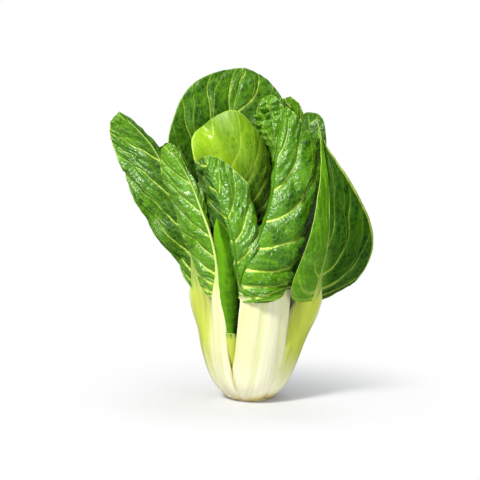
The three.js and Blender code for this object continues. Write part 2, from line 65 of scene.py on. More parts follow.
# One leaf a call.
# Its line: stalk and rib are points of the spine, foot to blade and blade to tip. inward is where its
# inner face looks, towards the head's axis if not given, and twist is degrees the leaf turns about its
# spine at blade base and tip.
# Its stalk: stalk_width, offset and wrap are full width, sideways shift and bending radius of the
# section at its foot, knee and top, and stalk_thick is its thickness at foot and top. rib_width is the
# midrib's, rib_reach the share of the leaf that it runs, shoulder the share of the blade over which the
# stalk thins to it and rib_green how green it is. tint greens the stalk at five places across, partly its
# own green and partly a painted glow of light shining through the flesh.
# Its blade, left and right seen from outside: width of each half, fold, degrees a half stands inward
# from the midrib, and curl, degrees it turns from there to its margin, at the blade's base, middle and
# tip. drop is how far the lower lobe hangs, widest where along the blade it is broadest, round the
# fullness of the outline at base and tip, tip a width added near the tip and steep how late the roots
# of the veins move up the midrib.
# Its surface: veins is their number a side, bunch below 1 crowds them at the base and skew leans them
# up towards the margin. pucker is swelling between veins, inward positive. blister, cells, grain, ruffle
# and bow are the lumps, their cellular part, how far they leave the veins' direction for the blade's,
# the wavy margin and slow waves. detail scales the mesh steps.
# Its colour: deepen is painted shade that darkens the left half, the right half and the base, and painted
# light that lightens them where negative. painted_shading_from is the share out where a half starts to,
# and painted_shading_rib is painted shade beside the midrib. rim is the pale margin's share of each half,
# vein_show, grit and gloss scale veins, fine relief and shine.
LEAVES = [
    dict(name="front",
         stalk=[(0, -16.5, 3), (1, -30.5, 18), (1, -40, 43), (-3, -46, 68), (-8.5, -50, 91)],
         rib=[(-9.5, -53, 107), (-5, -55, 122), (6, -54, 145), (16, -49, 175), (21, -44, 210),
              (28, -34, 250)],
         stalk_width=(26, 43, 49), offset=(0, 4, 24), stalk_thick=(7, 5), wrap=(24, 34, 60),
         rib_width=0.4, rib_green=1.0, shoulder=0.1,
         twist=(0, -8), width=(22, 58), fold=((80, 110, 110), (-30, -30, -10)),
         curl=((20, 0, 0), (105, 110, 60)), drop=(4, 11), widest=(0.5, 0.43),
         round=((0.5, 0.8), (0.6, 1.6)),
         veins=8, skew=1.2, pucker=-2.4, blister=1.6, ruffle=1.2, seed=3,
         tint=(0.2, 0.35, 0.05, 0.05, 0.15), painted_shading=(1.0, 0.0, 0.0), painted_shading_from=0.3),
    dict(name="right",
         stalk=[(14.5, -8, 3), (26.5, -14.5, 18), (37.5, -17, 43), (44, -20, 65), (51, -29, 90)],
         rib=[(55, -38, 107), (61, -48, 134), (63, -49, 162), (62, -43, 190), (59, -33, 214),
              (54, -20, 240)],
         stalk_width=(24, 40, 20), offset=(0, -4, -2), stalk_thick=(7, 5), wrap=(24, 34, 30),
         rib_width=2, rib_green=0.6,
         twist=(60, 60), width=(27, 41), fold=((-70, -68, -30), (10, 14, 18)),
         curl=((80, 80, 30), (8, 8, 8)), drop=(-4, 8), widest=(0.12, 0.34),
         round=((0.6, 2.9), (3.0, 5.2)), tip=(0, 1), steep=3.0,
         veins=7, skew=1.0, vein_show=0.45, pucker=-0.6, blister=0.6, ruffle=0.6, bow=0.8, seed=8,
         tint=(0.9, 1.5, 1.5, 1.4, 0.7), painted_shading=(-0.4, 1.0, 0.0), painted_shading_from=0.02, rim=(0.02, 0.045),
         grit=0.7, gloss=0.6),
    dict(name="front_left",
         stalk=[(-10.2, -13, 3), (-19.5, -23.5, 18), (-25, -32.5, 43), (-26.5, -39, 73),
                (-27.5, -42, 93)],
         rib=[(-28, -45, 117), (-32, -46, 141), (-40, -45, 164), (-51, -41, 191), (-69, -35, 219)],
         stalk_width=(12, 15, 12), stalk_thick=(6, 4), wrap=(26, 30, 20), rib_width=2.2, rib_green=0.0,
         twist=(-10, -10), width=(25, 10), fold=((20, 5, -5), (130, 110, 60)),
         curl=((-20, -10, 10), (10, 10, 10)), drop=(5, 2), widest=(0.5, 0.5),
         round=((0.5, 0.8), (0.5, 0.7)),
         veins=9, bunch=0.75, skew=0.3, pucker=-1.8, blister=1.5, ruffle=1.2, seed=4,
         tint=(0.35, 0.25, 0.15, 0.2, 0.35), painted_shading=(-0.35, 0.0, 0.0), gloss=1.3),
    dict(name="left",
         stalk=[(-15.7, -5, 3), (-28.8, -9.5, 18), (-37, -13, 43), (-40, -15, 73), (-43, -18, 93)],
         rib=[(-47, -20, 115), (-52, -23, 138), (-59, -24, 163), (-68, -23, 188), (-82, -19, 216),
              (-109, -12, 244)],
         stalk_width=(24, 36, 20), stalk_thick=(7, 5), wrap=(24, 34, 30), rib_width=2, rib_green=0.45,
         twist=(-50, -60), width=(35, 14), fold=((10, 5, 0), (110, 110, 80)),
         curl=((-15, -10, 10), (10, 10, 10)), drop=(0, 0), widest=(0.64, 0.5),
         round=((1.0, 0.8), (0.9, 1.0)), steep=1.6,
         veins=8, bunch=0.75, skew=0.4, pucker=-1.8, blister=1.6, ruffle=1.6, seed=6,
         tint=(0.5, 1.0, 1.2, 0.9, 0.5), painted_shading=(0.0, 0.7, 0.0), painted_shading_rib=0.75),
    dict(name="rolled", stalk=[(-6, -10, 8), (-13.5, -22.5, 24), (-16.5, -32.5, 41), (-17.5, -39, 57)],
         rib=[(-18, -46, 80), (-19, -54, 108), (-22, -56, 134), (-28, -52, 160)],
         stalk_width=(14, 16, 14), stalk_thick=(5, 3), wrap=(18, 18, 12), rib_width=0.6, rib_green=1.0,
         rib_reach=0.4,
         twist=(-20, -20), width=(21, 17), fold=((10, 10, 10), (10, 10, 10)),
         curl=((105, 110, 100), (105, 110, 100)), drop=(2, 2), widest=(0.35, 0.35),
         round=((0.3, 1.8), (0.3, 1.8)),
         veins=6, vein_show=0.04, pucker=0.2, blister=0.25, grain=1.0, ruffle=0.2, bow=0.5, seed=2,
         detail=0.8,
         tint=(2.5, 2.5, 2.5, 2.5, 2.5), painted_shading=(-1.0, 0.6, 0.3), grit=0.4, gloss=0.3),
    dict(name="folded",
         stalk=[(-3, -7, 10), (-5, -17, 28), (-6, -26, 53), (-8, -36, 80), (-11, -45, 100)],
         rib=[(-12, -53, 118), (-14, -55, 140), (-20, -51, 162), (-29, -44, 186), (-39, -38, 209)],
         stalk_width=(12, 12, 7), stalk_thick=(4, 3), wrap=(18, 20, 20), rib_width=1.5, rib_green=1.0,
         width=(24, 25), fold=((15, 15, 20), (5, 10, 0)),
         curl=((30, 30, 40), (30, 50, 20)), drop=(4, 12), widest=(0.6, 0.62),
         round=((3.6, 0.6), (2.2, 1.1)),
         veins=7, vein_show=0.8, pucker=-1.6, blister=2.0, ruffle=1.4, seed=11,
         tint=(0.8, 0.8, 0.8, 0.8, 0.8), painted_shading=(0.9, -0.2, 0.0), gloss=1.2),
    dict(name="blistered", stalk=[(9, 3, 10), (19, 6, 30), (23, 8, 63), (24, 4, 103), (23, 0, 133)],
         rib=[(22, -5, 158), (21, -8, 188), (19, -5, 220), (14, 4, 256)],
         stalk_width=(16, 18, 12), stalk_thick=(5, 3), wrap=(24, 24, 20), rib_width=1.2, rib_green=0.8,
         inward=(0, -1, 0), width=(17, 17), fold=((20, 15, 10), (10, 10, 0)),
         curl=((-20, -20, -30), (-10, -10, -30)), drop=(4, 4), widest=(0.55, 0.55),
         round=((0.85, 0.7), (0.85, 0.7)),
         veins=6, vein_show=0.4, pucker=1.6, blister=1.9, cells=2.4, grain=1.0, ruffle=1.6, seed=21,
         tint=(0.6, 0.6, 0.6, 0.6, 0.6), painted_shading=(-0.4, -0.4, 0.0), gloss=1.4),
    dict(name="young", stalk=[(0, 3, 14), (-1, 6, 38), (-2, 3, 78), (-4, -4, 118), (-8, -10, 148)],
         rib=[(-12, -15, 170), (-20, -19, 197), (-29, -21, 220), (-39, -17, 233)],
         stalk_width=(9, 10, 9), stalk_thick=(4, 3), wrap=(20, 20, 20), rib_width=1.2, rib_green=0.5,
         inward=(0, -1, 0), width=(41, 26), fold=((30, 30, 30), (20, 20, 20)),
         curl=((-90, -90, -90), (20, 20, 30)), drop=(6, 0), widest=(0.58, 0.72),
         round=((0.85, 0.7), (1.8, 0.7)), steep=2.6,
         veins=6, vein_show=0.7, pucker=0.5, blister=0.5, ruffle=0.6, seed=12,
         tint=(0.8, 0.8, 0.8, 0.8, 0.8), painted_shading=(0.6, -0.3, 0.9), painted_shading_from=0.1, rim=(0.02, 0.04),
         grit=0.25, gloss=1.2, finish="young"),
    dict(name="tall", stalk=[(-2, 9, 8), (-5, 22, 26), (-8, 28, 63), (-11, 26, 103), (-14, 22, 130)],
         rib=[(-17, 18, 163), (-18, 14, 203), (-15, 16, 243), (-6, 28, 278)],
         stalk_width=(28, 32, 22), stalk_thick=(6, 4), wrap=(26, 32, 40), rib_width=1.5,
         width=(57, 58), fold=((15, 8, 0), (15, 8, 0)),
         curl=((10, 10, 0), (10, 10, 0)), drop=(10, 10), widest=(0.52, 0.52),
         round=((0.85, 0.75), (0.85, 1.7)),
         veins=7, skew=0.8, vein_show=1.0, pucker=0.9, blister=0.8, grain=1.0, ruffle=1.4, bow=1.0,
         seed=14,
         tint=(0.6, 0.3, 0.2, 0.3, 0.6), painted_shading=(0.6, 0.4, 0.8), rim=(0.004, 0.004), grit=0.5, gloss=1.3),
    dict(name="back_right", stalk=[(12, 5, 6), (28, 12, 22), (36, 16, 48), (40, 17, 83), (43, 16, 113)],
         rib=[(45, 13, 143), (46, 10, 178), (46, 7, 210), (50, 6, 242)],
         stalk_width=(26, 32, 18), stalk_thick=(6, 4), wrap=(28, 34, 40), rib_width=2,
         twist=(-60, -60), width=(20, 13), fold=((20, 10, 0), (20, 10, 0)),
         curl=((10, 10, 0), (10, 10, 0)), drop=(8, 8), widest=(0.5, 0.5),
         round=((0.85, 0.6), (0.85, 0.6)),
         veins=7, pucker=1.2, blister=0.5, ruffle=1.2, seed=17, detail=0.8,
         tint=(0.6, 0.4, 0.3, 0.4, 0.6), finish="deep"),
    dict(name="rear_right",
         stalk=[(9.7, 13.3, 3), (18, 24.5, 18), (24.5, 34, 43), (29, 40, 73), (33, 46, 96)],
         rib=[(37, 53, 123), (40, 58, 155), (40, 60, 190), (34, 56, 252)],
         stalk_width=(26, 42, 30), stalk_thick=(7, 5), wrap=(24, 34, 40), rib_width=4,
         width=(22, 33), fold=((10, 10, 0), (10, 10, 0)),
         curl=((10, -10, -20), (10, -10, -20)), drop=(14, 14), widest=(0.45, 0.45),
         round=((0.85, 1.1), (0.85, 1.1)),
         veins=8, pucker=-1.6, blister=0.5, ruffle=1.6, seed=31, detail=0.8,
         tint=(0.6, 0.3, 0.1, 0.3, 0.6)),
    dict(name="rear",
         stalk=[(-4.6, 15.8, 3), (-8.4, 29.2, 18), (-11, 39.5, 43), (-13, 45, 73), (-15, 51, 96)],
         rib=[(-19, 58, 122), (-23, 64, 153), (-26, 67, 188), (-28, 64, 230)],
         stalk_width=(26, 42, 32), stalk_thick=(7, 5), wrap=(24, 34, 40), rib_width=4,
         width=(40, 40), fold=((10, 10, 0), (10, 10, 0)),
         curl=((10, -10, -20), (10, -10, -20)), drop=(14, 14), widest=(0.48, 0.48),
         round=((0.85, 0.85), (0.85, 0.85)),
         veins=8, pucker=-1.6, blister=0.5, ruffle=1.6, seed=33, detail=0.8,
         tint=(0.6, 0.3, 0.1, 0.3, 0.6)),
    dict(name="rear_left",
         stalk=[(-15, 6.6, 3), (-27.8, 12.3, 18), (-37, 17, 43), (-41.5, 20, 73), (-47, 25, 96)],
         rib=[(-57, 30, 123), (-66, 34, 153), (-71, 34, 183), (-73, 29, 214)],
         stalk_width=(24, 38, 28), stalk_thick=(7, 5), wrap=(24, 34, 40), rib_width=4,
         width=(27, 36), fold=((10, 10, 0), (10, 10, 0)),
         curl=((10, -10, -20), (10, -10, -20)), drop=(12, 12), widest=(0.48, 0.48),
         round=((0.85, 0.85), (0.85, 0.85)),
         veins=8, pucker=-1.6, blister=0.5, ruffle=1.6, seed=35, detail=0.8,
         tint=(0.6, 0.3, 0.1, 0.3, 0.6)),
    dict(name="inner_right", stalk=[(6, 8, 10), (13, 19, 28), (17, 28, 60), (19, 33, 98), (20, 37, 120)],
         rib=[(20, 42, 148), (19, 45, 180), (17, 44, 216)],
         stalk_width=(14, 24, 16), stalk_thick=(5, 3), wrap=(20, 28, 40), rib_width=2.5,
         width=(30, 28), fold=((15, 15, 10), (15, 15, 10)),
         curl=((20, 10, 0), (20, 10, 0)), drop=(8, 8), widest=(0.5, 0.5),
         round=((0.85, 0.85), (0.85, 0.85)),
         veins=7, pucker=-1.4, blister=0.8, ruffle=1.4, seed=37, detail=0.7,
         tint=(0.8, 0.5, 0.4, 0.5, 0.8)),
    dict(name="inner_left",
         stalk=[(-7, 5, 12), (-17, 13, 30), (-25, 20, 62), (-29, 25, 98), (-32, 29, 120)],
         rib=[(-36, 35, 148), (-40, 39, 178), (-42, 38, 212)],
         stalk_width=(14, 24, 16), stalk_thick=(5, 3), wrap=(20, 28, 40), rib_width=2.5,
         width=(28, 28), fold=((15, 15, 10), (15, 15, 10)),
         curl=((20, 10, 0), (20, 10, 0)), drop=(8, 8), widest=(0.5, 0.5),
         round=((0.85, 0.85), (0.85, 0.85)),
         veins=7, pucker=-1.4, blister=0.8, ruffle=1.4, seed=39, detail=0.7,
         tint=(0.8, 0.5, 0.4, 0.5, 0.8)),
    dict(name="heart", stalk=[(4, 1, 14), (7, 2, 38), (8, 4, 68), (7, 6, 93)],
         rib=[(5, 7, 113), (3, 6, 133), (1, 3, 153)],
         stalk_width=(8, 9, 6), stalk_thick=(4, 3), wrap=(20, 20, 20), rib_width=2,
         width=(16, 16), fold=((30, 30, 20), (30, 30, 20)),
         curl=((40, 40, 40), (40, 40, 40)), drop=(2, 2), widest=(0.5, 0.5),
         round=((0.85, 0.85), (0.85, 0.85)),
         veins=5, pucker=0.5, blister=0.1, ruffle=0.5, seed=41, detail=0.5,
         tint=(0.8, 0.8, 0.8, 0.8, 0.8), finish="young"),
]


# ---------------------------------------------------------------- curves and fields

def unit(v):
    """Vectors divided by their own length."""
    return v / np.linalg.norm(v, axis=-1, keepdims=True)


def smooth(x):
    """A step from 0 to 1 that starts and ends level: 3x^2 - 2x^3, held outside 0 to 1."""
    x = np.clip(x, 0, 1)
    return x * x * (3 - 2 * x)


def along(values, share, bend=0.5):
    """A value given at share 0, at share bend and at share 1, read straight in between."""
    return np.interp(share, [0, bend, 1], values)


def by_side(pair, side):
    """The left value where side is negative and the right value elsewhere."""
    return np.where(side < 0, pair[0], pair[1])


class Spine:
    """A leaf's centre line and its directions.

    The line is a smooth cubic through the given points, whose slope at a point is half the step
    between its two neighbours, read at equal steps of its own length. The inward direction starts
    towards the head's axis, is carried along with no turn of its own and is then turned by the
    leaf's twist. Right is inward crossed with the tangent.
    """

    def __init__(self, leaf, steps=160, span_steps=60):
        points = np.array(leaf["stalk"] + leaf["rib"], float)
        points = np.vstack([2 * points[0] - points[1], points, 2 * points[-1] - points[-2]])
        t = np.linspace(0, 1, span_steps, endpoint=False)[:, None]
        spans = []
        for before, start, end, after in zip(points, points[1:], points[2:], points[3:]):
            slope_in = (end - before) / 2
            slope_out = (after - start) / 2
            spans.append((2 * t**3 - 3 * t**2 + 1) * start + (t**3 - 2 * t**2 + t) * slope_in
                         + (3 * t**2 - 2 * t**3) * end + (t**3 - t**2) * slope_out)
        line = np.vstack(spans + [points[-2:-1]])
        run = np.r_[0, np.cumsum(np.linalg.norm(np.diff(line, axis=0), axis=1))]
        self.length = run[-1]
        self.stalk_length = run[span_steps * (len(leaf["stalk"]) - 1)]
        self.blade_length = self.length - self.stalk_length
        self.stations = np.linspace(0, self.length, steps + 1)
        self.point = np.stack([np.interp(self.stations, run, line[:, k]) for k in range(3)], 1)
        self.tangent = unit(np.gradient(self.point, axis=0))
        inward = leaf.get("inward", (-leaf["stalk"][1][0], -leaf["stalk"][1][1], 0))
        self.inner = self._carried(np.array(inward, float))
        on = np.clip((self.stations - self.stalk_length) / self.blade_length, 0, 1)
        first, last = np.radians(leaf.get("twist", (0, 0)))
        begun = smooth(2 * self.stations / self.stalk_length - 1)
        turn = (first * begun * (1 - on) + last * on)[:, None]
        self.inner = np.cos(turn) * self.inner + np.sin(turn) * np.cross(self.inner, self.tangent)
        self.right = np.cross(self.inner, self.tangent)

    def _carried(self, direction):
        """The direction at each station: the last one, less what lies along the tangent there."""
        carried = []
        for tangent in self.tangent:
            direction = direction - direction.dot(tangent) * tangent
            direction = direction / np.linalg.norm(direction)
            carried.append(direction)
        return np.array(carried)

    def at(self, run):
        """Point, inward and right directions at distances from the foot, straight on past the ends."""
        held = np.clip(run, 0, self.length)
        point, tangent, inner, right = (
            np.stack([np.interp(held, self.stations, field[:, k]) for k in range(3)], -1)
            for field in (self.point, self.tangent, self.inner, self.right))
        return point + tangent * (run - held)[..., None], inner, right


def crumple(x, y, wavelength, seed, waves=7):
    """A smooth unevenness of about 1: seeded sine waves of near one length in many directions."""
    rng = np.random.default_rng(seed)
    total = np.zeros(np.shape(x))
    for _ in range(waves):
        heading, phase = rng.uniform(0, 2 * np.pi, 2)
        pace = 2 * np.pi / (wavelength * rng.uniform(0.75, 1.35))
        total += np.sin(pace * (np.cos(heading) * x + np.sin(heading) * y) + phase)
    return total / np.sqrt(waves)


def billow(x, y, wavelength, seed):
    """Rounded lumps that meet in sharp creases: the size of the unevenness, less its mean."""
    return np.abs(crumple(x, y, wavelength, seed)) - 0.57


def cells(x, y, seed):
    """Rounded cells: 0 on the walls, 1 at the middles.

    Each square of a unit grid holds one point, pushed off its middle by a seeded amount. The
    height is the smooth step of how much nearer the nearest point is than the second nearest.
    """
    col, row = np.floor(x), np.floor(y)
    nearest = np.full(np.shape(x), 9.0)
    second = np.full(np.shape(x), 9.0)
    for i in (-1, 0, 1):
        for j in (-1, 0, 1):
            mix = (col + i) * 12.9898 + (row + j) * 78.233 + seed
            push_x = np.modf(np.abs(np.sin(mix)) * 437.585)[0]
            push_y = np.modf(np.abs(np.sin(mix + 5.2)) * 437.585)[0]
            away = np.hypot(x - (col + i + 0.15 + 0.7 * push_x), y - (row + j + 0.15 + 0.7 * push_y))
            second = np.minimum(second, np.maximum(nearest, away))
            nearest = np.minimum(nearest, away)
    return smooth((second - nearest) / 0.8)


# ---------------------------------------------------------------- meshes

def joined(index, closed):
    """Quads between the neighbours of a grid of vertex numbers, closed across or open."""
    if closed:
        index = np.hstack([index, index[:, :1]])
    return np.stack([index[:-1, :-1], index[1:, :-1], index[1:, 1:], index[:-1, 1:]], -1).reshape(-1, 4)


def body(name, corners, quads, material, fields, flat=None):
    """A smooth-shaded closed mesh in metres, with point fields and a map in millimetres / 100.

    Corners that stand at one pole share one number, so a quad there has become a triangle.
    """
    same = np.stack([quads[:, k] == quads[:, (k + 1) % 4] for k in range(4)], 1)
    full = quads[same.sum(1) == 0]
    pinched = [np.delete(quads[(same.sum(1) == 1) & same[:, k]], k, 1) for k in range(4)]
    triangles = np.vstack(pinched)
    used, packed = np.unique(np.concatenate([full.ravel(), triangles.ravel()]), return_inverse=True)
    faces = packed[:full.size].reshape(-1, 4).tolist() + packed[full.size:].reshape(-1, 3).tolist()
    mesh = bpy.data.meshes.new(name)
    mesh.from_pydata((corners[used] * UNIT).tolist(), [], faces)
    for key, values in fields.items():
        field = mesh.attributes.new(key, "FLOAT", "POINT")
        field.data.foreach_set("value", np.ravel(values)[used].astype(np.float32))
    if flat is not None:
        layer = mesh.uv_layers.new(name="flat")
        layer.data.foreach_set("uv", (flat[used][packed] / 100).astype(np.float32).ravel())
    mesh.polygons.foreach_set("use_smooth", np.ones(len(mesh.polygons), bool))
    mesh.materials.append(material)
    piece = bpy.data.objects.new(name, mesh)
    bpy.context.scene.collection.objects.link(piece)
    return piece


def blade(leaf, spine, material):
    """The blade: a closed sheet between the leaf's spine and its margin.

    At vein share t the margin stands out from the midrib by the half's width times a power of
    sin(pi t^0.9), plus the tip's width, at a height along the blade that runs as (1 - cos) / 2 of
    the same angle to a power that sets where it is broadest, less the hang of its lower lobe. A vein
    is a parabola from the midrib, at a height that runs as t to the steep power, to that point, and
    share u runs along it. A strip across a half leaves the midrib at its fold angle and turns evenly
    by its curl, so it is an arc of a circle. The sheet then swells between veins into lumps that
    meet in creases, flatter where veins crowd, sinks along the veins, rises and falls in slow waves
    and waves at the margin. The two faces stand half a thickness off it.
    """
    detail = leaf.get("detail", 1.0)
    rows = int(BLADE_ROWS * detail)
    columns = int(BLADE_COLUMNS * detail)
    t, u = np.meshgrid(np.linspace(0, 1, rows + 1), np.linspace(-1, 1, 2 * columns + 1), indexing="ij")
    side = np.where(u < 0, -1.0, 1.0)
    out = np.abs(u)
    length = spine.blade_length
    width = by_side(leaf["width"], side)
    angle = np.pi * t**0.9
    bulge = np.clip(np.sin(angle), 0, 1)
    first = by_side([r[0] for r in leaf["round"]], side)
    last = by_side([r[1] for r in leaf["round"]], side)
    margin_across = width * bulge ** (first + (last - first) * smooth(t))
    tip = by_side(leaf.get("tip", (0, 0)), side)
    margin_across = margin_across + tip * np.sqrt(bulge) * smooth(2 * t - 1)
    lean = np.log(by_side(leaf["widest"], side)) / np.log(0.5)
    hang = by_side(leaf["drop"], side) * bulge * (1 - t) ** 2 * 1.6
    margin_along = length * ((1 - np.cos(angle)) / 2) ** lean - hang
    root_along = length * t ** leaf.get("steep", 1.6)
    bend_along = 0.7 * root_along + 0.3 * margin_along
    up = (1 - out) ** 2 * root_along + 2 * out * (1 - out) * bend_along + out**2 * margin_along
    across = (2 * out * (1 - out) * 0.55 + out**2) * margin_across
    share = up / length
    fold = np.radians(by_side([along(f, share) for f in leaf["fold"]], side))
    curl = np.radians(by_side([along(c, share) for c in leaf["curl"]], side)) / width
    curl = np.where(np.abs(curl) < 1e-6, 1e-6, curl)
    point, inner, right = spine.at(spine.stalk_length + up)
    end = fold + curl * across
    point = point + (side * (np.sin(end) - np.sin(fold)) / curl)[..., None] * right
    point = point + ((np.cos(fold) - np.cos(end)) / curl)[..., None] * inner
    normal = np.cos(end)[..., None] * inner - (side * np.sin(end))[..., None] * right
    left_fold = np.radians(along(leaf["fold"][0], share[:, columns]))[:, None]
    other = np.cos(left_fold) * inner[:, columns] + np.sin(left_fold) * right[:, columns]
    normal[:, columns] = unit(normal[:, columns] + other)

    # The vein number at each place: whole on a vein, with a slow wander and a bend by the skew.
    seed = leaf["seed"]
    numbers = leaf["veins"] * t ** leaf.get("bunch", 1.0)
    phase = numbers + 0.3 + 0.1 * np.sin(7 * t + seed) * side * out
    phase = phase + 0.07 * crumple(up, across * side, 24, seed + 3) * out
    phase = phase - leaf.get("skew", 0.0) * out**1.5
    row_step = np.hypot(np.gradient(across, axis=0), np.gradient(up, axis=0))
    spacing = row_step / np.gradient(numbers, axis=0)
    off_vein = np.abs(phase - np.round(phase))
    vein = np.exp(-(off_vein * spacing / 1.4) ** 2) * (1 - out**2)
    between = 1 - np.exp(-(off_vein * spacing / 3.5) ** 2)

    # Places on the sheet in millimetres: across the veins and along them, pushed about a little.
    grain = leaf.get("grain", 0.0)
    over = (1 - grain) * t * length * 0.9 + grain * up + 2.2 * crumple(up, across * side, 26, seed + 6)
    down = across * side + 2.2 * crumple(up, across * side, 26, seed + 7)
    net = cells(over / 7, down / 9 + 40, seed)
    lumps = 0.55 * crumple(over, down / 1.2, 15, seed + 5) + 0.3 * crumple(over, down, 7.5, seed + 4)
    lumps = lumps + 0.5 * billow(over, down / 1.2, 10, seed + 12) + leaf.get("cells", 0.4) * (net - 0.5)
    patchy = 0.75 + 0.45 * crumple(up, across * side, 38, seed + 8)
    facing = -1.0 if leaf["pucker"] < 0 else 1.0
    room = np.clip(spacing / 14, 0, 1)
    sunk = 0.7 * leaf.get("vein_show", 1.0) * vein
    relief = facing * (leaf["blister"] * lumps * patchy * room * smooth(out * 5) - sunk)
    ends = smooth(t / 0.07) * smooth((1 - t) / 0.05)
    swell = leaf["pucker"] * between * np.sin(np.pi * out) ** 0.6 * np.sin(np.pi * t) ** 0.5
    slow = leaf.get("bow", 1.5) * crumple(up, across * side, 45, seed + 9) * smooth(out * 1.5)
    wave = leaf["ruffle"] * out**3 * np.sin(2 * np.pi * 3.3 * t + 1.7 * side + seed)
    wave = wave + 0.5 * leaf["ruffle"] * out**6 * crumple(up, across * side, 14, seed + 2)
    point = point + normal * ((swell + relief + slow + wave) * ends)[..., None]

    normal[0] = normal[0, columns]
    normal[-1] = normal[-1, columns]
    inner_ends = smooth(t / 0.02) * smooth((1 - t) / 0.02)
    half_sheet = SHEET / 2 * (1 - SHEET_TAPER * out * inner_ends)[..., None]
    count = t.size
    inside = np.arange(count).reshape(t.shape)
    inside[0] = inside[0, 0]
    inside[-1] = inside[-1, 0]
    outside = inside + count
    rim_left = np.stack([inside[:, 0], outside[:, 0]], 1)
    rim_right = np.stack([outside[:, -1], inside[:, -1]], 1)
    quads = np.vstack([joined(inside, False), joined(outside[:, ::-1], False),
                       joined(rim_left, False)[:, ::-1], joined(rim_right, False)[:, ::-1]])
    corners = np.vstack([(point + normal * half_sheet).reshape(-1, 3),
                         (point - normal * half_sheet).reshape(-1, 3)])
    crease = np.clip(0.5 - lumps / 1.6, 0, 1)
    # Painted shading: deepen darkens the halves, the base and a band beside the midrib as painted shade,
    # and lightens them as painted light where negative.
    dark_left, dark_right, dark_low = leaf.get("painted_shading", (0.0, 0.0, 0.0))
    dark = by_side((dark_left, dark_right), side) * smooth((out - leaf.get("painted_shading_from", 0.0)) / 0.25)
    dark = dark + dark_low * smooth(1.4 - 2 * share)
    dark = dark + leaf.get("painted_shading_rib", 0.0) * smooth(1.3 - 2 * out)
    twice = {"phase": phase, "out": out, "spacing": spacing, "up": share, "off_rib": across,
             "net": 1 - net, "crease": crease,
             "vein_show": 0 * out + leaf.get("vein_show", 1.0),
             "rim": by_side(leaf.get("rim", (0.02, 0.02)), side),
             "grit": 0 * out + leaf.get("grit", 1.0),
             "gloss": 0 * out + leaf.get("gloss", 1.0),
             "painted_shading": dark}
    fields = {key: np.tile(values.ravel(), 2) for key, values in twice.items()}
    flat = np.tile(np.stack([across * side, up], -1).reshape(-1, 2), (2, 1))
    return body(f"{leaf['name']}_leaf_blade", corners, quads, material, fields, flat)


def stalk(leaf, spine, material):
    """The stalk and midrib: one flattened section carried along the spine.

    The section is a rounded bar, half-width times cos(a) across and half-thickness times a power
    of sin(a) through, bent round the head's axis on its wrap radius. Along the stalk its width
    follows the three given ones, and along the blade it thins to the midrib and then to nothing.
    Its sideways shift is a parabola of the share up the stalk, through its values at foot, knee and
    top. Ridges of four widths, cosines across the bar that wander slowly, run along its faces and
    fade towards its foot, and both ends are drawn in to a point.
    """
    detail = leaf.get("detail", 1.0)
    rows = int(STALK_ROWS * detail)
    sides = 2 * int(STALK_SIDES / 2 * detail)
    s = np.linspace(0, 1, rows + 1)
    run = s * spine.length * leaf.get("rib_reach", 0.985)
    f = run / spine.stalk_length
    b = np.clip((run - spine.stalk_length) / spine.blade_length, 0, 1)
    fade = np.clip(1 - b / leaf.get("shoulder", SHOULDER), 0, 1) ** 1.6
    rib_half = leaf["rib_width"] / 2 * (1 - b) ** 0.9 + 0.25
    rib_half = rib_half + max(leaf["stalk_width"][2] - leaf["rib_width"], 0) / 2 * fade
    half = np.where(f > 1, rib_half, along(leaf["stalk_width"], f, KNEE) / 2)
    thick_foot, thick_top = leaf["stalk_thick"]
    stalk_thick = thick_foot + (thick_top - thick_foot) * f
    thick = np.where(f < 1, stalk_thick, thick_top * (1 - b) ** 1.3 + SHEET * b)
    radius = along(leaf["wrap"], f, KNEE)
    low, top = leaf.get("offset", (0, 0, 0))[1:]
    bow = (low - top * KNEE) / (KNEE**2 - KNEE)
    shift = np.where(f > 1, top * fade, (top - bow) * f + bow * f**2)
    tips = np.sqrt(np.clip(s / 0.008, 0, 1)) * np.sqrt(np.clip((1 - s) / 0.02, 0, 1))

    a = np.arange(sides) * 2 * np.pi / sides
    through = np.sign(np.sin(a)) * np.abs(np.sin(a)) ** 0.7
    place = np.cos(a)[None] * half[:, None]
    grooves = np.zeros((rows + 1, sides))
    rng = np.random.default_rng(leaf["seed"] + 50)
    for pitch, depth in ((17.0, 0.3), (9.0, 0.16), (4.6, 0.08), (2.7, 0.05)):
        wander = rng.uniform(-0.5, 0.5) * run[:, None] / 150
        grooves += depth * np.cos(2 * np.pi * place / pitch + wander + rng.uniform(0, 6))
    valley = np.clip(0.5 - grooves / 0.9, 0, 1)
    grooves *= (np.sign(np.sin(a)) * np.abs(np.sin(a)) ** 1.5)[None]
    grooves *= (smooth(f / 0.45) * np.clip(half / 8, 0, 1))[:, None]
    bend = (shift[:, None] + place * tips[:, None]) / radius[:, None]
    lift = (through[None] * thick[:, None] / 2 + grooves) * tips[:, None]
    point, inner, right = (field[:, None] for field in spine.at(run))
    corners = point + (radius[:, None] * np.sin(bend) - lift * np.sin(bend))[..., None] * right
    corners = corners + (radius[:, None] * (1 - np.cos(bend)) + lift * np.cos(bend))[..., None] * inner
    index = np.arange(corners[..., 0].size).reshape(rows + 1, sides)
    index[0] = index[0, 0]
    index[-1] = index[-1, 0]
    tint = np.interp(np.cos(a), [-1, -0.5, 0, 0.5, 1], leaf["tint"])
    fields = {
        "edge": np.tile(np.abs(np.cos(a)) ** 10, rows + 1),
        "height": np.repeat(np.clip(f, 0, 2), sides),
        "rib": np.repeat(b, sides),
        "tint": np.tile(tint, rows + 1),
        "valley": valley,
        "rib_green": np.full(corners[..., 0].size, leaf.get("rib_green", 0.3)),
    }
    flat = np.stack([place, np.repeat(run[:, None], sides, 1)], -1).reshape(-1, 2)
    quads = joined(index, True)[:, ::-1]
    return body(f"{leaf['name']}_leaf_stalk", corners.reshape(-1, 3), quads, material, fields, flat)


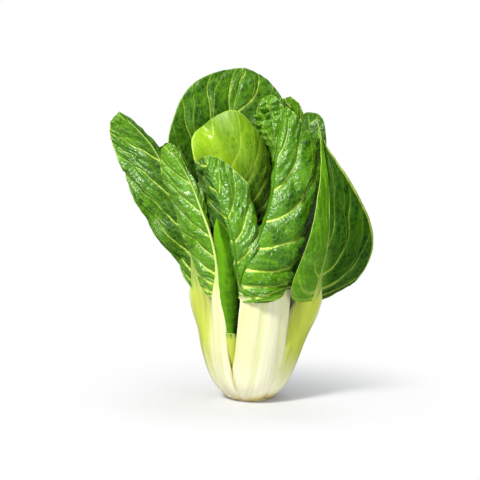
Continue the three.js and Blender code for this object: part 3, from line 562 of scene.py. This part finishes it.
def stump(material):
    """The trimmed stump: a half outline turned about the axis, with shallow lobes below the stalks.

    The outline is a smooth curve through a few radii and heights, from the flat cut face over its
    worn rim to the domed top. Its radius swells by a small cosine of the angle, and nothing on
    the cut face leaves the plane that the head rests on.
    """
    low, high = (np.array(corner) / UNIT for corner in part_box("stump"))
    reach = (high[0] - low[0]) / 2
    shares = [(0, 0), (0.5, 0), (0.88, 0), (0.93, 0.004), (0.975, 0.03), (1, 0.08), (0.995, 0.15),
              (0.96, 0.24), (0.89, 0.36), (0.78, 0.55), (0.6, 0.78), (0.33, 0.94), (0, 1)]
    path = np.array(shares)
    step = np.linspace(0, len(path) - 1, 73)
    radius = np.interp(step, range(len(path)), path[:, 0]) * reach
    height = np.interp(step, range(len(path)), path[:, 1]) * high[2]
    turn = np.arange(144) * 2 * np.pi / 144
    swell = 1 + 0.012 * np.cos(7 * turn + 0.6) + 0.006 * np.cos(17 * turn)
    ring = radius[:, None] * np.where(height[:, None] > 0.05, swell[None], 1.0)
    ring = np.minimum(ring, reach)
    level = np.repeat(height[:, None], 144, 1)
    corners = np.stack([ring * np.cos(turn), ring * np.sin(turn), level], -1)
    index = np.arange(ring.size).reshape(ring.shape)
    index[0] = index[0, 0]
    index[-1] = index[-1, 0]
    fields = {"from_middle": ring / reach, "off_floor": np.repeat(height, 144)}
    return body("trimmed_stump", corners.reshape(-1, 3), joined(index, True)[:, ::-1], material, fields)


# ---------------------------------------------------------------- finishes

class Finish:
    """A material on the principled shader, with short calls for the nodes that feed it."""

    def __init__(self, name, **constants):
        self.material = bpy.data.materials.new(name)
        self.material.use_nodes = True
        self.tree = self.material.node_tree
        self.shader = self.tree.nodes["Principled BSDF"]
        for socket, value in constants.items():
            self.shader.inputs[socket.replace("_", " ")].default_value = value

    def node(self, kind, **settings):
        made = self.tree.nodes.new(kind)
        for key, value in settings.items():
            setattr(made, key, value)
        return made

    def feed(self, socket, value):
        if isinstance(value, bpy.types.NodeSocket):
            self.tree.links.new(value, socket)
        else:
            socket.default_value = value

    def field(self, name):
        """A point field of the mesh."""
        return self.node("ShaderNodeAttribute", attribute_name=name).outputs["Fac"]

    def math(self, operation, first, second=0.0, third=0.0):
        made = self.node("ShaderNodeMath", operation=operation)
        for socket, value in zip(made.inputs, (first, second, third)):
            self.feed(socket, value)
        return made.outputs[0]

    def step(self, value, low, high):
        """A smooth step from 0 at low to 1 at high, or falling where low is the larger."""
        rising = low < high
        made = self.node("ShaderNodeMapRange", interpolation_type="SMOOTHSTEP")
        ends = (low, high, 0.0, 1.0) if rising else (high, low, 1.0, 0.0)
        for socket, entry in zip(made.inputs[:5], (value, *ends)):
            self.feed(socket, entry)
        return made.outputs[0]

    def blend(self, share, first, second, mode="MIX"):
        made = self.node("ShaderNodeMix", data_type="RGBA", blend_type=mode)
        self.feed(made.inputs[0], share)
        for socket, value in zip(made.inputs[6:8], (first, second)):
            self.feed(socket, (*value, 1.0) if isinstance(value, tuple) and len(value) == 3 else value)
        return made.outputs[2]

    def mottle(self, size_mm, detail=3.0, stretch=None, flat=False):
        """Soft noise of about that size: over the body, or over the piece's own flat map."""
        kind = self.node("ShaderNodeUVMap", uv_map="flat") if flat else self.node("ShaderNodeTexCoord")
        place = kind.outputs[0] if flat else kind.outputs["Object"]
        if stretch is not None:
            turned = self.node("ShaderNodeMapping")
            self.feed(turned.inputs[0], place)
            turned.inputs["Scale"].default_value = stretch
            place = turned.outputs[0]
        made = self.node("ShaderNodeTexNoise")
        self.feed(made.inputs["Vector"], place)
        made.inputs["Scale"].default_value = (100 if flat else 1000) / size_mm
        made.inputs["Detail"].default_value = detail
        return made.outputs[0]

    def cracks(self, size_mm):
        """How far it is to the nearest wall of a net of that size laid on the flat map."""
        place = self.node("ShaderNodeUVMap", uv_map="flat").outputs[0]
        push = self.node("ShaderNodeMixRGB", blend_type="ADD")
        self.feed(push.inputs[0], 0.02)
        self.feed(push.inputs[1], place)
        self.feed(push.inputs[2], self.mottle(8, 2.0, flat=True))
        made = self.node("ShaderNodeTexVoronoi", feature="DISTANCE_TO_EDGE")
        self.feed(made.inputs["Vector"], push.outputs[0])
        made.inputs["Scale"].default_value = 100 / size_mm
        return made.outputs["Distance"]

    def colour(self, value):
        self.feed(self.shader.inputs["Base Color"], value)

    def roughness(self, value):
        self.feed(self.shader.inputs["Roughness"], value)

    def bump(self, height, strength, distance_mm):
        made = self.node("ShaderNodeBump")
        made.inputs["Strength"].default_value = strength
        made.inputs["Distance"].default_value = distance_mm * UNIT
        self.feed(made.inputs["Height"], height)
        self.feed(self.shader.inputs["Normal"], made.outputs[0])


def blade_finish(name, deepest, deep, middle, light, vein, striped=0.0):
    """Waxy green tissue with a pale net of veins, paler at its base and along the midrib.

    Its five colours run from the deepest shade to the veins. striped is how strong its dark long
    lines are. Painted shade and painted light come from the leaf's deepen field.
    """
    made = Finish(name, IOR=1.5)
    out = made.field("out")
    phase = made.field("phase")
    spacing = made.field("spacing")
    large = made.mottle(30, 2.0)
    medium = made.mottle(13, 3.0)
    small = made.mottle(6, 4.0)
    fine = made.mottle(2.2, 3.0)
    cracks = made.cracks(4.5)
    green = made.blend(made.step(large, 0.35, 0.65), deep, middle)
    green = made.blend(made.math("MULTIPLY", made.step(medium, 0.5, 0.72), 0.3), green, light)
    green = made.blend(made.math("MULTIPLY", made.step(medium, 0.55, 0.25), 0.4), green, deep)
    green = made.blend(made.math("MULTIPLY", made.step(small, 0.5, 0.68), 0.4), green, light)
    grit = made.field("grit")
    spots = made.math("MULTIPLY", made.step(small, 0.52, 0.25), grit)
    green = made.blend(made.math("MULTIPLY", spots, 0.4), green, deepest)
    green = made.blend(made.math("MULTIPLY", made.step(fine, 0.5, 0.7), 0.4), green, light)
    specks = made.math("MULTIPLY", made.step(fine, 0.5, 0.3), grit)
    green = made.blend(made.math("MULTIPLY", specks, 0.55), green, deepest)
    creases = made.math("MULTIPLY", made.step(made.field("crease"), 0.35, 0.8), 0.35)
    green = made.blend(creases, green, light)
    near_rib = made.step(made.field("off_rib"), 16.0, 0.0)
    low = made.step(made.field("up"), 0.4, 0.0)
    pale = made.math("MULTIPLY", made.math("ADD", near_rib, low), 0.35)
    green = made.blend(pale, green, light)
    # Painted shade towards the deepest green where deepen is positive, and painted light towards the light
    # green where it is negative.
    green = made.blend(made.math("MULTIPLY", made.field("painted_shading"), 0.85), green, deepest)
    green = made.blend(made.math("MULTIPLY", made.field("painted_shading"), -0.85), green, light)
    if striped:
        lines = made.step(made.mottle(2.6, 2.0, stretch=(2.0, 0.06, 1.0), flat=True), 0.42, 0.62)
        green = made.blend(made.math("MULTIPLY", lines, striped), green, deep)
    off_main = made.math("MULTIPLY", made.math("PINGPONG", phase, 0.5), spacing)
    off_main = made.math("MULTIPLY_ADD", made.math("SUBTRACT", fine, 0.5), 1.2, off_main)
    off_main = made.math("ABSOLUTE", off_main)
    halo_fade = made.math("MULTIPLY_ADD", out, -0.4, 0.45)
    halo = made.math("MULTIPLY", made.step(off_main, 4.5, 0.5), halo_fade)
    green = made.blend(made.math("MULTIPLY", halo, made.field("vein_show")), green, light)

    # Main veins stand on the whole numbers of the phase, and each forks on its way out.
    line_width = made.math("MULTIPLY_ADD", out, -0.9, 1.5)
    line_width = made.math("MULTIPLY_ADD", made.step(made.field("up"), 0.3, 0.02), 1.6, line_width)
    main = made.step(made.math("DIVIDE", off_main, line_width), 1.0, 0.1)
    fork_off = made.math("MULTIPLY", made.step(out, 0.25, 0.95), 0.42)
    fork = made.math("PINGPONG", made.math("SUBTRACT", phase, fork_off), 0.5)
    fork = made.math("DIVIDE", made.math("MULTIPLY", fork, spacing), line_width)
    fork = made.math("MULTIPLY", made.step(fork, 0.8, 0.1), 0.6)
    net = made.math("MULTIPLY", made.step(made.field("net"), 0.75, 1.0), 0.3)
    net = made.math("MAXIMUM", net, made.math("MULTIPLY", made.step(cracks, 0.16, 0.0), 0.25))
    green = made.blend(made.math("MULTIPLY", net, made.field("vein_show")), green, light)
    veins = made.math("MAXIMUM", main, fork)
    broken = made.math("MULTIPLY_ADD", made.step(small, 0.3, 0.6), 0.3, 0.7)
    fading = made.math("MULTIPLY", made.math("MULTIPLY_ADD", out, -0.55, 1.0), broken)
    veins = made.math("MULTIPLY", made.math("MULTIPLY", veins, fading), made.field("vein_show"))
    green = made.blend(veins, green, vein)
    rim = made.math("DIVIDE", made.math("SUBTRACT", 1.0, out), made.field("rim"))
    green = made.blend(made.math("MULTIPLY", made.step(rim, 1.0, 0.5), 0.45), green, vein)
    made.colour(green)
    deepened = made.math("MULTIPLY_ADD", made.step(made.field("painted_shading"), 0.0, 1.0), 0.2, 0.23)
    made.roughness(made.math("MULTIPLY_ADD", small, 0.3, deepened))
    height = made.math("MULTIPLY_ADD", fine, 0.45, made.math("MULTIPLY", small, 0.9))
    height = made.math("MULTIPLY_ADD", made.step(cracks, 0.0, 0.3), 0.2, height)
    made.bump(made.math("MULTIPLY", height, grit), 1.0, 1.3)
    waxy = made.math("MULTIPLY_ADD", made.step(large, 0.42, 0.6), 0.4, 0.35)
    shaded = made.math("MULTIPLY_ADD", made.step(made.field("painted_shading"), 0.0, 0.8), -0.6, 1.0)
    waxy = made.math("MULTIPLY", waxy, shaded)
    made.feed(made.shader.inputs["Specular IOR Level"], made.math("MULTIPLY", made.field("gloss"), waxy))
    return made.material


def stalk_finish():
    """Crisp white flesh with long faint streaks.

    It is yellow-green by its tint, partly its own green and partly a painted glow of light through the
    flesh, and in its valleys, partly its own green strands and partly painted shade in the grooves. It is
    also yellow-green beside the blade, green along the midrib, and golden at its foot and low on its
    sides.
    """
    made = Finish("stalk_flesh", Roughness=0.38, IOR=1.4)
    streaks = made.mottle(6, 3.0, stretch=(3.0, 0.1, 1.0), flat=True)
    fibres = made.mottle(2.2, 2.0, stretch=(2.5, 0.05, 1.0), flat=True)
    patches = made.mottle(26, 2.0)
    height = made.field("height")
    flesh = made.blend(made.step(height, 0.0, 0.8), (0.95, 0.92, 0.69), (0.75, 0.745, 0.52))
    streaked = made.math("MULTIPLY", made.step(streaks, 0.48, 0.66), 0.32)
    flesh = made.blend(streaked, flesh, (0.58, 0.60, 0.28))
    flesh = made.blend(made.math("MULTIPLY", made.step(fibres, 0.5, 0.75), 0.3), flesh, (0.84, 0.83, 0.66))
    # Painted shade in the grooves' valleys, partly the flesh's own green strands.
    valley = made.step(made.field("valley"), 0.5, 0.95)
    valley = made.math("MULTIPLY", valley, made.step(height, 0.0, 0.5))
    flesh = made.blend(made.math("MULTIPLY", valley, 0.45), flesh, (0.62, 0.66, 0.22))
    # Painted glow: the tint greens the flesh, partly its own green and partly light shining through it.
    green = made.math("MULTIPLY", made.step(height, 0.1, 0.65), made.field("tint"))
    patchy = made.math("MULTIPLY_ADD", made.step(patches, 0.3, 0.6), 0.2, 0.8)
    green = made.math("MULTIPLY", green, patchy)
    lined = made.math("MULTIPLY_ADD", made.step(streaks, 0.3, 0.6), 0.25, 0.75)
    green = made.math("MULTIPLY", green, lined)
    green = made.math("MULTIPLY", green, made.math("SUBTRACT", 1.0, made.field("edge")))
    flesh = made.blend(green, flesh, (0.49, 0.57, 0.06))
    ragged = made.math("MULTIPLY_ADD", made.step(streaks, 0.35, 0.65), 2.0, 0.4)
    beside_blade = made.step(made.math("MULTIPLY", ragged, made.field("rib")), 0.0, 0.12)
    flesh = made.blend(made.math("MULTIPLY", beside_blade, 0.8), flesh, (0.52, 0.66, 0.16))
    rib = made.math("MULTIPLY", made.step(made.field("rib"), 0.3, 1.0), 0.6)
    rib = made.math("MULTIPLY", made.math("MAXIMUM", rib, made.field("rib_green")), beside_blade)
    flesh = made.blend(rib, flesh, (0.05, 0.17, 0.004))
    foot = made.math("MULTIPLY", made.step(height, 0.13, 0.02), 0.9)
    foot = made.math("MULTIPLY", foot, made.step(patches, 0.3, 0.6))
    flesh = made.blend(foot, flesh, (0.62, 0.46, 0.10))
    worn = made.math("MULTIPLY", made.step(made.field("edge"), 0.005, 0.3), made.step(height, 0.45, 0.1))
    flesh = made.blend(made.math("MULTIPLY", worn, 0.6), flesh, (0.56, 0.46, 0.10))
    made.colour(flesh)
    made.bump(made.math("ADD", streaks, made.math("MULTIPLY", fibres, 0.6)), 0.5, 0.6)
    return made.material


def stump_finish():
    """Cut flesh: cream with rings of the stalks' bases, dried brown at the rim."""
    made = Finish("cut_stump", Roughness=0.6, Subsurface_Weight=0.1, Subsurface_Scale=0.003)
    from_middle = made.field("from_middle")
    patches = made.mottle(5, 4.0)
    rings = made.math("MULTIPLY_ADD", from_middle, 26.0, made.math("MULTIPLY", patches, 6.0))
    rings = made.step(made.math("SINE", rings), -0.2, 1.0)
    flesh = made.blend(made.math("MULTIPLY", rings, 0.45), (0.86, 0.80, 0.55), (0.66, 0.60, 0.30))
    low = made.step(made.field("off_floor"), 3.5, 0.5)
    rim = made.math("MULTIPLY", made.step(from_middle, 0.86, 0.98), low)
    rim = made.math("MULTIPLY", rim, made.step(patches, 0.3, 0.7))
    flesh = made.blend(rim, flesh, (0.50, 0.36, 0.13))
    made.colour(flesh)
    made.bump(patches, 0.4, 0.6)
    return made.material


BLADE_FINISHES = {
    "deep": blade_finish("deep_green_blade", (0.005, 0.028, 0.001), (0.008, 0.042, 0.001),
                         (0.020, 0.098, 0.001), (0.065, 0.21, 0.002), (0.26, 0.44, 0.03)),
    "bright": blade_finish("bright_green_blade", (0.004, 0.030, 0.001), (0.009, 0.055, 0.001),
                           (0.027, 0.130, 0.001), (0.115, 0.32, 0.003), (0.58, 0.72, 0.12)),
    "young": blade_finish("young_green_blade", (0.020, 0.085, 0.001), (0.13, 0.31, 0.004),
                          (0.18, 0.38, 0.006), (0.31, 0.51, 0.012), (0.42, 0.60, 0.07), striped=0.3),
}
STALK_FINISH = stalk_finish()


# ---------------------------------------------------------------- the head

def grow_leaf(leaf):
    spine = Spine(leaf)
    name = leaf["name"]
    flesh = stalk(leaf, spine, STALK_FINISH)
    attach(flesh, "root")
    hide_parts(f"{name}_stalk")
    finish = leaf.get("finish", "bright")
    tissue = blade(leaf, spine, BLADE_FINISHES[finish])
    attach(tissue, "root")
    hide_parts(f"{name}_blade")


foot = stump(stump_finish())
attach(foot, "root")
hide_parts("stump")
for leaf in LEAVES:
    grow_leaf(leaf)


# ---------------------------------------------------------------- floor, light and camera

def floor_finish():
    """Pale floor with the shadow near the head, plain white further out and dull in reflections."""
    made = Finish("pale_floor", Roughness=0.9)
    seen = made.node("ShaderNodeLightPath").outputs["Is Camera Ray"]
    place = made.node("ShaderNodeTexCoord").outputs["Object"]
    away = made.node("ShaderNodeVectorMath", operation="LENGTH")
    made.feed(away.inputs[0], place)
    share = made.math("MULTIPLY_ADD", made.step(away.outputs["Value"], 0.02, 0.2), 0.85, 0.15)
    mirrored = made.node("ShaderNodeLightPath").outputs["Is Glossy Ray"]
    made.colour(made.blend(mirrored, (0.65, 0.67, 0.71), (0.2, 0.2, 0.2)))
    white = made.node("ShaderNodeEmission")
    mixed = made.node("ShaderNodeMixShader")
    made.feed(mixed.inputs[0], made.math("MULTIPLY", share, seen))
    made.feed(mixed.inputs[1], made.shader.outputs[0])
    made.feed(mixed.inputs[2], white.outputs[0])
    made.feed(made.tree.nodes["Material Output"].inputs[0], mixed.outputs[0])
    return made.material


def lay_floor():
    reach = 3.0
    mesh = bpy.data.meshes.new("floor")
    mesh.from_pydata([(-reach, -reach, 0), (reach, -reach, 0), (reach, reach, 0), (-reach, reach, 0)], [],
                     [(0, 1, 2, 3)])
    mesh.materials.append(floor_finish())
    floor = bpy.data.objects.new("floor", mesh)
    bpy.context.scene.collection.objects.link(floor)


def light_world():
    """A white surround: plain white to the eye, softer as a light and faint in reflections."""
    world = bpy.data.worlds.new("surround")
    bpy.context.scene.world = world
    world.use_nodes = True
    tree = world.node_tree
    glow = tree.nodes["Background"]
    glow.inputs[0].default_value = (1, 1, 1, 1)
    path = tree.nodes.new("ShaderNodeLightPath")
    level = tree.nodes.new("ShaderNodeMapRange")
    level.inputs[3].default_value = 0.09
    level.inputs[4].default_value = 1.0
    faint = tree.nodes.new("ShaderNodeMath")
    faint.operation = "MULTIPLY_ADD"
    faint.inputs[1].default_value = -0.05
    tree.links.new(path.outputs["Is Camera Ray"], level.inputs[0])
    tree.links.new(path.outputs["Is Glossy Ray"], faint.inputs[0])
    tree.links.new(level.outputs[0], faint.inputs[2])
    tree.links.new(faint.outputs[0], glow.inputs[1])


def add_lamp(name, place, aim, size, power, colour=(1.0, 1.0, 1.0), mirrored=True):
    data = bpy.data.lights.new(name, "AREA")
    data.color = colour
    data.size = size
    data.energy = power
    lamp = bpy.data.objects.new(name, data)
    lamp.location = place
    lamp.rotation_euler = (aim - place).to_track_quat("-Z", "Y").to_euler()
    lamp.visible_glossy = mirrored
    bpy.context.scene.collection.objects.link(lamp)


def add_camera(aim, distance, elevation, view_height):
    """A level camera in front of the head that sees view_height at the distance of its axis."""
    data = bpy.data.cameras.new("camera")
    data.sensor_width = 36
    data.lens = data.sensor_width * distance / view_height
    camera = bpy.data.objects.new("camera", data)
    camera.location = aim + Vector((0, -distance * math.cos(elevation), distance * math.sin(elevation)))
    camera.rotation_euler = (aim - camera.location).to_track_quat("-Z", "Y").to_euler()
    bpy.context.scene.collection.objects.link(camera)
    bpy.context.scene.camera = camera


MIDDLE = Vector((-9.3, 0, 135.2)) * UNIT
lay_floor()
light_world()
add_lamp("key", Vector((-0.6, -0.85, 1.05)), MIDDLE, 0.3, 28, (1.0, 0.97, 0.90))
add_lamp("fill", Vector((0.8, -1.0, 0.35)), MIDDLE, 0.6, 6.5, mirrored=False)
add_lamp("top", Vector((0.2, 0.3, 1.3)), MIDDLE, 0.8, 8)
add_camera(MIDDLE, distance=1.6, elevation=math.radians(8), view_height=403 * UNIT)
bpy.context.scene.view_settings.view_transform = "Standard"
